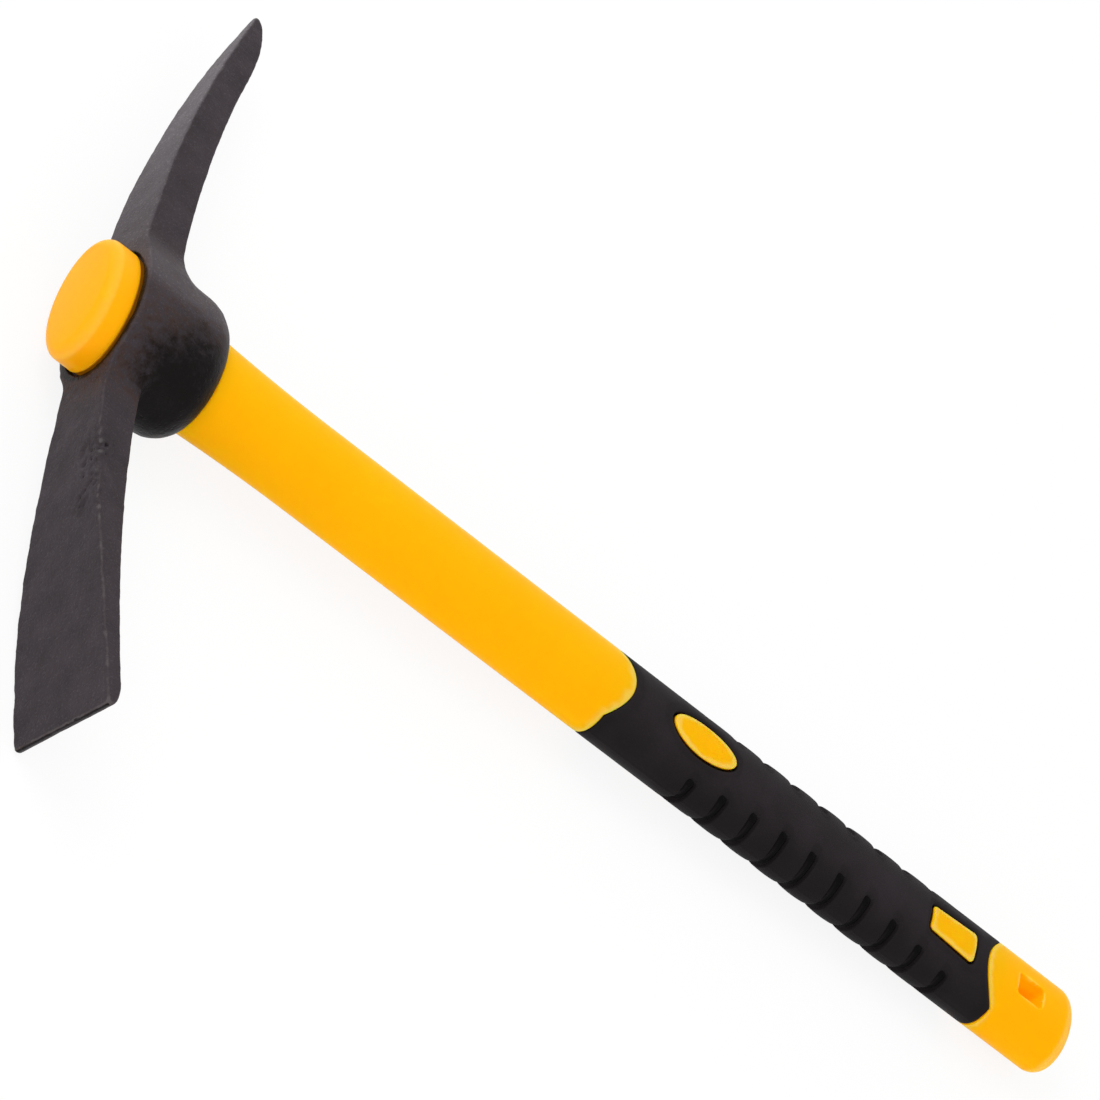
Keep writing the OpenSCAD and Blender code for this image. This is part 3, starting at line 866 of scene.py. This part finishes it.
class Sheet:
    """Collects the points, drops and cut lines of one half, then triangulates it."""

    def __init__(self):
        self.points = []
        self.drops = []
        self.cuts = []

    def add(self, points, drop):
        first = len(self.points)
        self.points += [tuple(p) for p in points]
        self.drops += [drop] * len(points)
        return first

    def net(self, rows, drop, keep):
        """A net of points where keep allows it on the cheek. A row is one x, or an x for each column."""
        rows = np.array([np.broadcast_to(row, columns.shape) for row in rows])
        grid = np.stack([rows, np.broadcast_to(mean_radius * columns, rows.shape)], 2).reshape(-1, 2)
        self.add(grid[keep(to_cheek(grid))], drop)

    def loop(self, outline, drop):
        """A closed cut line."""
        first = self.add(to_sheet(outline), drop)
        count = len(outline)
        self.cuts += [(first + i, first + (i + 1) % count) for i in range(count)]

    def across(self, row, drop):
        """A cut line across the cheek; row gives x at each column."""
        first = self.add(np.stack([row, mean_radius * columns], 1), drop)
        self.cuts += [(first + i, first + i + 1) for i in range(len(columns) - 1)]

    def grip_lines(self, inset, end_drop, grow, window_drop):
        """The grip's two ends, moved in by an inset, and its two windows, grown."""
        self.across(front_edge(column_y) + inset, end_drop)
        self.across(rear_edge(column_y) - inset, end_drop)
        self.loop(oval_outline(grow), window_drop)
        self.loop(plate_outline(grow), window_drop)

    def triangles(self, low_row, high_row, holes):
        """Points, drops and triangles between two rows, without the holes."""
        found = delaunay_2d_cdt([Vector(p) for p in self.points], self.cuts, [], 0, 1e-5)
        points = np.array([tuple(p) for p in found[0]])
        faces = np.array([tuple(face) for face in found[2]])
        drops = np.array([self.drops[old[0]] for old in found[3]])
        middle = points[faces].mean(1)
        round_here = mean_radius * columns
        keep = middle[:, 0] > np.interp(middle[:, 1], round_here, low_row)
        keep &= middle[:, 0] < np.interp(middle[:, 1], round_here, high_row)
        for hole in holes:
            keep &= ~inside(to_sheet(hole), middle)
        return points, drops, faces[keep]


def both_cheeks(points, drops, faces):
    """Adds the mirrored half for the lower cheek to the same sheet."""
    mirrored = np.stack([points[:, 0], mean_radius * math.pi - points[:, 1]], 1)
    turned = faces[:, ::-1] + len(points)
    return np.concatenate([points, mirrored]), np.concatenate([drops, drops]), np.concatenate([faces, turned])


def sheet_mesh(name, points, drops, skin, faces):
    """A flat mesh with the attributes that the tree reads."""
    mesh = bpy.data.meshes.new(name)
    mesh.from_pydata([(*point, 0.0) for point in points], [], faces.tolist())
    for label, values in (("drop", drops), ("skin", skin)):
        mesh.attributes.new(label, "FLOAT", "POINT").data.foreach_set("value", values.astype(np.float32))
    return mesh

# %% [markdown]
# ## The tree that rolls a sheet up
# The same tree serves the jacket and the grip. It reads a flat point, works out the oval's half width and
# half thickness there (the swelling under the head, the rounded butt, the drop below full size) and sets
# the point on that oval. The finger grooves repeat along the handle, so rounding finds the nearest
# groove, and the distance to a slit with a round end decides how deep the rubber is pressed in. Between
# two slits the ribs bulge a little.

# %% The tree that rolls a sheet up
groove_first = grip_front + 36.5
groove_pitch, groove_count = 12.0, 10
roll_sizes = {"Handle Width": handle_w, "Handle Thickness": handle_t, "Flare Width": flare_w,
              "Flare Thickness": flare_t, "Flare End": flare_end, "Flare Length": flare_len,
              "Butt Start": tool_length - butt_round, "Butt Round": butt_round, "Mean Radius": mean_radius,
              "Groove First": groove_first, "Groove Pitch": groove_pitch, "Groove Count": groove_count,
              "Groove Depth": 1.8, "Slit Half Width": 1.85, "Slit Narrowing": 0.5, "Slit Lean": 1.2,
              "Slit Wall": 0.6, "Slit End": 52.0, "Slit Arch": 22.0, "Rib Sag": 0.45, "Sag Blend": 25.0,
              "Parting Line": 0.12, "Parting Reach": 1.6}
merge_reach = 0.004


def slit_path(size, number, off):
    """Where a slit starts round the cheek, its middle and its half width, for numbers or for fields."""
    row_share = number * 2.0 / (size["Groove Count"] - 1.0) - 1.0
    start = size["Slit End"] - size["Slit Arch"] * (1.0 - row_share * row_share)
    down = ((off - start) / (90.0 - start)).clip(0.0, 1.0)
    middle = size["Groove First"] + number * size["Groove Pitch"] + size["Slit Lean"] * down
    return start, middle, size["Slit Half Width"] - size["Slit Narrowing"] * down


def roll_tree(material):
    """The tree, for a sheet of one material."""
    tree, flat, size = start_tree("roll_" + material.name, roll_sizes)
    along_sheet, round_sheet, _ = split(tree, position(tree))
    drop, skin = (Field(tree, add_node(tree, "GeometryNodeInputNamedAttribute", {"Name": label}).outputs[0])
                  for label in ("drop", "skin"))
    angle = round_sheet / size["Mean Radius"]
    # the rounded butt: past its start the sheet turns inwards
    arc = ((along_sheet - size["Butt Start"]) / size["Butt Round"]).max(0.0)
    x = along_sheet.min(size["Butt Start"]) + size["Butt Round"] * arc.sin()
    inset = drop + size["Butt Round"] * (1.0 - arc.cos())
    swell = ((size["Flare End"] - x) / size["Flare Length"]).max(0.0) ** 2.0
    # the nearest groove, and the angle away from the middle of the nearer cheek
    nearest = ((x - size["Groove First"]) / size["Groove Pitch"]).math("ROUND").max(0.0)
    nearest = nearest.min(size["Groove Count"] - 1.0)
    off = abs(angle.sin().math("ARCSINE")) * (180.0 / math.pi)
    start, middle, half_slit = slit_path(size, nearest, off)
    beside = abs(x - middle)
    short = ((start - off) * (math.pi / 180.0) * size["Mean Radius"] + half_slit).max(0.0)
    gap = (beside * beside + short * short).root() - half_slit
    slit = 1.0 - (gap / size["Slit Wall"] + 0.5).ease()
    ribs = (1.0 - beside * 2.0 / size["Groove Pitch"]).max(0.0) ** 2.0
    sag = ribs * off.rise(start, over=size["Sag Blend"])
    seam = (1.0 - (90.0 - off) / size["Parting Reach"]).max(0.0)
    press = skin * (size["Groove Depth"] * slit + size["Rib Sag"] * sag - size["Parting Line"] * seam)
    half_w = (size["Handle Width"] + size["Flare Width"] * swell) * 0.5 - inset - press
    half_t = (size["Handle Thickness"] + size["Flare Thickness"] * swell) * 0.5 - inset - press
    place = join(tree, x, half_w * angle.sin(), half_t * angle.cos())
    rolled = add_node(tree, "GeometryNodeSetPosition", {"Geometry": flat, "Position": place}).outputs[0]
    closed = add_node(tree, "GeometryNodeMergeByDistance", {"Geometry": rolled, "Distance": merge_reach})
    # how far up the cheek a point lies, for the rubber's dust and painted light
    finish_tree(tree, store(tree, closed.outputs[0], "upper", angle.cos()), material)
    return tree


def open_edges(faces):
    """The edges that only one triangle uses, in that triangle's direction."""
    edges = np.concatenate([faces[:, [0, 1]], faces[:, [1, 2]], faces[:, [2, 0]]])
    ordered = np.sort(edges, 1)
    _, where, count = np.unique(ordered, axis=0, return_inverse=True, return_counts=True)
    return edges[count[where.ravel()] == 1]

# %% [markdown]
# ## The rubber grip
# The grip is moulded over the jacket as a sleeve 2.4 mm thick. Its sheet has the curved ends and both
# windows cut out, with rows close to each cut for a soft lip. Near the grooves the rows are closer,
# because a slit needs several points across. The inner skin is a copy of the sheet at the depth of the
# bore, and walls join the two.

# %% The rubber grip
grip_lip = 0.9
window_gap = 0.6
mould_gap = 0.02
row_step = 1.1
rows_end, rows_go_on = 5.9, 6.9
slit_rows = (-1.2, -0.6, -0.35, -0.2, -0.05, 0.1, 0.25, 0.45, 0.8, 1.4, 2.3, 3.3)


def groove_rows(number):
    """Rows that follow one slit on both sides, at distances from its walls."""
    _, middle, half_slit = slit_path(roll_sizes, number, np.degrees(np.abs(columns)))
    return [middle] + [middle + side * (half_slit + row) for row in slit_rows for side in (-1, 1)]


grip_rows = [row for number in range(groove_count) for row in groove_rows(number)]
groove_last = groove_first + groove_pitch * (groove_count - 1)
grip_rows += list(np.arange(grip_front, groove_first - rows_end, row_step))
grip_rows += list(np.arange(groove_last + rows_go_on, grip_rear, row_step))


def between_ends(cheek, grow=0.0):
    """Places that keep clear of the grip's ends and of its windows, grown by this much."""
    x, y = cheek.T
    along_grip = (x > front_edge(y) + clear) & (x < rear_edge(y) - clear)
    in_window = inside(oval_outline(grow + clear), cheek) | inside(plate_outline(grow + clear), cheek)
    return along_grip & ~in_window


grip_half = Sheet()
for offset in lip_rows:
    edge_drop = lip(offset, grip_lip)
    grip_half.grip_lines(mould_gap + offset, edge_drop, window_gap + offset, edge_drop)
grip_half.net(grip_rows, 0.0, partial(between_ends, grow=window_gap))
windows = (oval_outline(window_gap), plate_outline(window_gap))
points, drops, faces = grip_half.triangles(front_edge(column_y) + mould_gap, rear_edge(column_y) - mould_gap,
                                           windows)
half_edges = open_edges(faces)
at_mirror = np.abs(points[half_edges, 1]).min(1) > mean_radius * math.pi / 2 - 0.001
rims = half_edges[~at_mirror]
rims = np.concatenate([rims, rims[:, ::-1] + len(points)])
points, drops, faces = both_cheeks(points, drops, faces)
outer = len(points)
walls = np.concatenate([np.stack([rims[:, 1], rims[:, 0], rims[:, 0] + outer], 1),
                        np.stack([rims[:, 1], rims[:, 0] + outer, rims[:, 1] + outer], 1)])
grip_sheet = sheet_mesh("grip_sheet", np.concatenate([points, points]),
                        np.concatenate([drops, np.full(outer, grip_wall - mould_gap)]),
                        np.concatenate([np.ones(outer), np.zeros(outer)]),
                        np.concatenate([faces, faces[:, ::-1] + outer, walls]))
grip = place_piece("grip_sleeve", run_tree(roll_tree(rubber), grip_sheet, roll_sizes), rubber)
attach(grip, "root")
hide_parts("grip_sleeve")

# %% [markdown]
# ## The yellow jacket
# The jacket is the handle itself. Its sheet runs from the mouth of the eye to the flat butt. Under the
# grip it is a waist, 2.4 mm deep, and two pads stand up from it again to fill the grip's windows. A step
# is two rows of points close together, one up and one down. What can't be unrolled is added afterwards
# from rings: the tang in the eye, the bore for the core, the flat butt and the walls of the hang slot.

# %% The jacket's sheet
step_lip, pad_lip, slot_lip = 0.4, 0.5, 0.4
step_width = 0.08
pad_gap, pad_sink = 0.15, 0.1
butt_start = tool_length - butt_round
sheet_end = butt_start + butt_round * math.pi / 2
sheet_start, sheet_stop = np.full(len(columns), eye_end), np.full(len(columns), sheet_end)
shaft_step, waist_step, butt_rows = 2.0, 3.0, 12


def on_shaft(cheek):
    """Places before the grip."""
    return cheek[:, 0] < front_edge(cheek[:, 1]) - clear


def on_tail(cheek):
    """Places behind the grip, without the hang slot."""
    return (cheek[:, 0] > rear_edge(cheek[:, 1]) + clear) & ~inside(slot_outline(clear), cheek)


def on_pads(cheek):
    """Places in the two windows."""
    return inside(oval_outline(-pad_gap - clear), cheek) | inside(plate_outline(-pad_gap - clear), cheek)


jacket_half = Sheet()
jacket_half.across(sheet_start, 0.0)
jacket_half.across(sheet_stop, 0.0)
for offset in lip_rows:
    jacket_half.grip_lines(-offset, lip(offset, step_lip), -pad_gap - offset, pad_sink + lip(offset, pad_lip))
    jacket_half.loop(slot_outline(offset), lip(offset, slot_lip))
jacket_half.grip_lines(step_width, grip_wall, step_width - pad_gap, grip_wall)
jacket_half.net(np.arange(eye_end + shaft_step / 2, grip_front + front_scallop, shaft_step), 0.0, on_shaft)
jacket_half.net(np.arange(grip_front, grip_rear, waist_step), grip_wall, between_ends)
jacket_half.net(np.arange(grip_front, grip_rear, row_step), pad_sink, on_pads)
jacket_half.net(np.arange(grip_rear - rear_scallop, butt_start, row_step), 0.0, on_tail)
jacket_half.net(np.linspace(butt_start, sheet_end, butt_rows, endpoint=False), 0.0, on_tail)
points, drops, faces = both_cheeks(*jacket_half.triangles(sheet_start, sheet_stop, (slot_outline(0.0),)))
jacket_sheet = sheet_mesh("jacket_sheet", points, drops, np.zeros(len(points)), faces)
jacket_mesh = run_tree(roll_tree(yellow), jacket_sheet, roll_sizes)

# %% [markdown]
# The rings use the same columns as the sheet, so their first ring falls on the sheet's last one and both
# are merged into one closed surface. The walls of the slot join the two cheeks in the same way.

# %% The jacket's inside
all_round = np.radians(np.arange(0.0, 360.0, column_step))
# the second number is the strength of the painted glow on the slot's walls
slot_rings, slot_glow_paint = 9, 0.8


def oval_ring(x, width, thickness):
    """A ring of points across the handle, at the sheet's columns."""
    across, through = width / 2 * np.sin(all_round), thickness / 2 * np.cos(all_round)
    return np.stack([np.full(len(all_round), x), across, through], 1)


def add_rings(shape, rings, close_start=False, close_end=False):
    """Adds a skin over a row of closed rings to a bmesh, with flat ends where asked. Returns its points."""
    rows = [[shape.verts.new(p) for p in ring] for ring in rings]
    for row, following in zip(rows, rows[1:]):
        for here in range(len(row)):
            after = (here + 1) % len(row)
            shape.faces.new((row[here], row[after], following[after], following[here]))
    if close_start:
        shape.faces.new(rows[0])
    if close_end:
        shape.faces.new(rows[-1])
    return rows


def close_up(shape, mesh):
    """Merges coincident points, turns the normals outwards and says whether the surface is closed."""
    bmesh.ops.remove_doubles(shape, verts=shape.verts, dist=merge_reach)
    bmesh.ops.recalc_face_normals(shape, faces=shape.faces)
    for face in shape.faces:
        face.smooth = True
    print(mesh.name, "open edges:", sum(not edge.is_manifold for edge in shape.edges))
    shape.to_mesh(mesh)
    shape.free()


bore_top = (bore_top_w - 2 * bond_gap, bore_top_t - 2 * bond_gap)
bore_mouth = (mouth_w - 2 * bond_gap, mouth_t - 2 * bond_gap)
core_end = slot_x - slot_len / 2 - core_stop
jacket_shape = bmesh.new()
jacket_shape.from_mesh(jacket_mesh)
tang = [oval_ring(eye_end, handle_w + flare_w, handle_t + flare_t), oval_ring(eye_end, *bore_mouth),
        oval_ring(eye_top, *bore_top), oval_ring(eye_top, core_d, core_d),
        oval_ring(core_end, core_d, core_d)]
add_rings(jacket_shape, tang, close_end=True)
butt_ring = oval_ring(tool_length, handle_w - 2 * butt_round, handle_t - 2 * butt_round)
add_rings(jacket_shape, [butt_ring], close_end=True)
slot_edge = to_sheet(slot_outline(0.0))
slot_angle = slot_edge[:, 1] / mean_radius
slot_rim = np.stack([slot_edge[:, 0], (handle_w / 2 - slot_lip) * np.sin(slot_angle),
                     (handle_t / 2 - slot_lip) * np.cos(slot_angle)], 1)
slot_walls = [slot_rim * (1.0, 1.0, height) for height in np.linspace(1.0, -1.0, slot_rings)]
# a painted glow on the walls of the hang slot
painted_glow = jacket_shape.verts.layers.float.new("painted_glow")
for row in add_rings(jacket_shape, slot_walls)[1:-1]:
    for point in row:
        point[painted_glow] = slot_glow_paint
close_up(jacket_shape, jacket_mesh)
jacket = place_piece("handle_jacket", jacket_mesh, yellow)
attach(jacket, "root")
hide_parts("handle_jacket")

# %% [markdown]
# ## The end cap
# The cap is an oval button in the rim of the eye. Its profile is a slightly domed top, a wide rounding
# and a straight side that turns in just above the rim, so that a dark line runs round its foot. Each step
# of the profile makes one oval ring. A small tree then marks the edges for the wear, the foot for painted
# shade with a dark stain, and the side for a painted glow.

# %% The end cap
top_w, top_t = cap_w - 2 * cap_round, cap_t - 2 * cap_round
cap_dome, cap_brim, cap_foot = 0.5, 0.4, 0.2
top_rings, round_rings, side_rings, brim_rings, foot_rings = 9, 13, 6, 7, 5
# the strength of the painted glow on the cap's side
cap_glow_paint = 0.3
side_end = cap_h - cap_foot - cap_brim


def cap_ring(depth, inset=0.0):
    """One ring of the cap, drawn in from its full width."""
    return oval_ring(depth, cap_w - 2 * inset, cap_t - 2 * inset)


def quarter_turn(count):
    """Angles from 0 to a right angle."""
    return np.radians(np.linspace(0.0, 90.0, count))


cap_rings = [oval_ring(cap_dome * share ** 2, top_w * share, top_t * share)
             for share in np.linspace(0.1, 1.0, top_rings, endpoint=False)]
cap_rings += [cap_ring(cap_dome + (cap_round - cap_dome) * (1.0 - math.cos(angle)),
                       cap_round * (1.0 - math.sin(angle))) for angle in quarter_turn(round_rings)]
cap_rings += [cap_ring(depth) for depth in np.linspace(cap_round, side_end, side_rings)[1:-1]]
cap_rings += [cap_ring(side_end + cap_brim * math.sin(angle), cap_brim * (1.0 - math.cos(angle)))
              for angle in quarter_turn(brim_rings)]
cap_rings += [cap_ring(depth, cap_brim)
              for depth in np.linspace(cap_h - cap_foot, cap_h + cap_sunk, foot_rings)[1:]]
cap_shape = bmesh.new()
add_rings(cap_shape, cap_rings, close_start=True, close_end=True)
cap_seed = bpy.data.meshes.new("cap_seed")
close_up(cap_shape, cap_seed)
cap_tree, cap_skin, size = start_tree("end_cap", {"Side End": side_end})
depth = split(cap_tree, position(cap_tree))[0]
footed = store(cap_tree, cap_skin, "drop", depth - size["Side End"])
# a painted glow on the cap's side, growing towards its foot
painted_side_glow = store(cap_tree, footed, "painted_glow", (depth / size["Side End"]).ease() * cap_glow_paint)
finish_tree(cap_tree, painted_side_glow, cap_yellow)
cap = place_piece("end_cap", run_tree(cap_tree, cap_seed, {"Side End": side_end}), cap_yellow)
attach(cap, "root")
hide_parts("end_cap")

# %% [markdown]
# ## The camera
# The camera stands where the photograph was taken from: above the blade's side and in front of the head,
# so the handle runs away to the lower right. Its direction is given as a turn round the tool, a height
# and a roll, and a long lens from far away keeps the perspective as flat as a product photograph's.

# %% The camera
camera_turn, camera_height, camera_roll = map(math.radians, (-36.682, 39.177, 62.967))
camera_distance = 1800.0
pixels_per_mm = 3.4791
photo_width = 1100
aim = Vector((tool_length / 2 + 2.0, 0.0, 0.0))
aim_right, aim_up = -12.573, 39.544

level_reach = math.cos(camera_height)
back = Vector((math.sin(camera_turn) * level_reach, -math.cos(camera_turn) * level_reach,
               math.sin(camera_height)))
level = Vector((math.cos(camera_turn), math.sin(camera_turn), 0.0))
right = math.cos(camera_roll) * level + math.sin(camera_roll) * back.cross(level)
above = back.cross(right)
spot = aim + right * aim_right + above * aim_up + back * camera_distance

camera_data = bpy.data.cameras.new("camera")
camera_data.sensor_width = 36.0
camera_data.lens = camera_data.sensor_width * pixels_per_mm * camera_distance / photo_width
camera = add_object("camera", camera_data)
stand = turn.to_3x3() @ Matrix((right, above, back)).transposed()
camera.matrix_world = Matrix.Translation(to_frame @ spot) @ stand.to_4x4()
bpy.context.scene.camera = camera
print(f"lens {camera_data.lens:.0f} mm at {camera_distance / 1000:.1f} m")

# %% [markdown]
# ## Floor and light
# The photograph has a plain white ground. A white floor alone would come out grey, so part of it glows
# for the camera and in reflections at exactly white, and the rest is an ordinary pale floor that keeps
# the soft shadow. The sky is an even white, and three large lamps, over the head, on the blade's side and
# behind the pick, bring out the round shapes.

# %% Floor and light
floor_reach = 4.0
floor_glow = 0.88
sky_strength = 0.86
corners = [(-floor_reach, -floor_reach, 0), (floor_reach, -floor_reach, 0), (floor_reach, floor_reach, 0),
           (-floor_reach, floor_reach, 0)]
floor_mesh = bpy.data.meshes.new("floor")
floor_mesh.from_pydata(corners, [], [(0, 1, 2, 3)])
floor = add_object("floor", floor_mesh)

floor_paint, floor_tree, floor_shader = new_material("floor")
clouds = effect(floor_tree, grain_group, Cloud_Size=300.0, Grain_Size=4.0, Grain_Share=0.2)
pale_floor = coats(floor_tree, (0.90, 0.90, 0.90), (clouds["Tone"], (0.94, 0.94, 0.94)))
set_shader(floor_tree, floor_shader, {"Base Color": pale_floor, "Roughness": 0.85, "Specular IOR Level": 0.2})
glow = add_node(floor_tree, "ShaderNodeEmission", {"Color": (1.0, 1.0, 1.0, 1.0), "Strength": 1.0})
rays = add_node(floor_tree, "ShaderNodeLightPath").outputs
seen, mirrored, through = (Field(floor_tree, rays[f"Is {kind} Ray"])
                           for kind in ("Camera", "Glossy", "Transmission"))
glowing = seen.max(mirrored).max(through) * floor_glow
ground = add_node(floor_tree, "ShaderNodeMixShader",
                  {0: glowing, 1: floor_shader.outputs[0], 2: glow.outputs[0]})
feed(floor_tree, floor_tree.nodes["Material Output"].inputs["Surface"], ground.outputs[0])
floor_mesh.materials.append(floor_paint)

world = bpy.data.worlds.new("studio")
bpy.context.scene.world = world
world.use_nodes = True
sky = world.node_tree.nodes["Background"]
sky.inputs["Color"].default_value = (1.0, 1.0, 1.0, 1.0)
sky.inputs["Strength"].default_value = sky_strength


def add_lamp(name, place_mm, size_mm, power):
    """A square soft lamp that shines at the middle of the tool."""
    lamp_data = bpy.data.lights.new(name, "AREA")
    lamp_data.size = size_mm * MM
    lamp_data.energy = power
    lamp = add_object(name, lamp_data)
    start = to_frame @ Vector(place_mm)
    towards = to_frame @ aim - start
    lamp.matrix_world = Matrix.Translation(start) @ towards.to_track_quat("-Z", "Y").to_matrix().to_4x4()
    print(f"{name}: {power} W from {towards.length:.2f} m")


add_lamp("head_side_lamp", (-900.0, 350.0, 1150.0), size_mm=900.0, power=7.5)
add_lamp("blade_side_lamp", (100.0, -1300.0, 500.0), size_mm=900.0, power=4.0)
add_lamp("pick_side_lamp", (-700.0, 1000.0, 450.0), size_mm=700.0, power=2.0)
bpy.context.scene.view_settings.view_transform = "Standard"
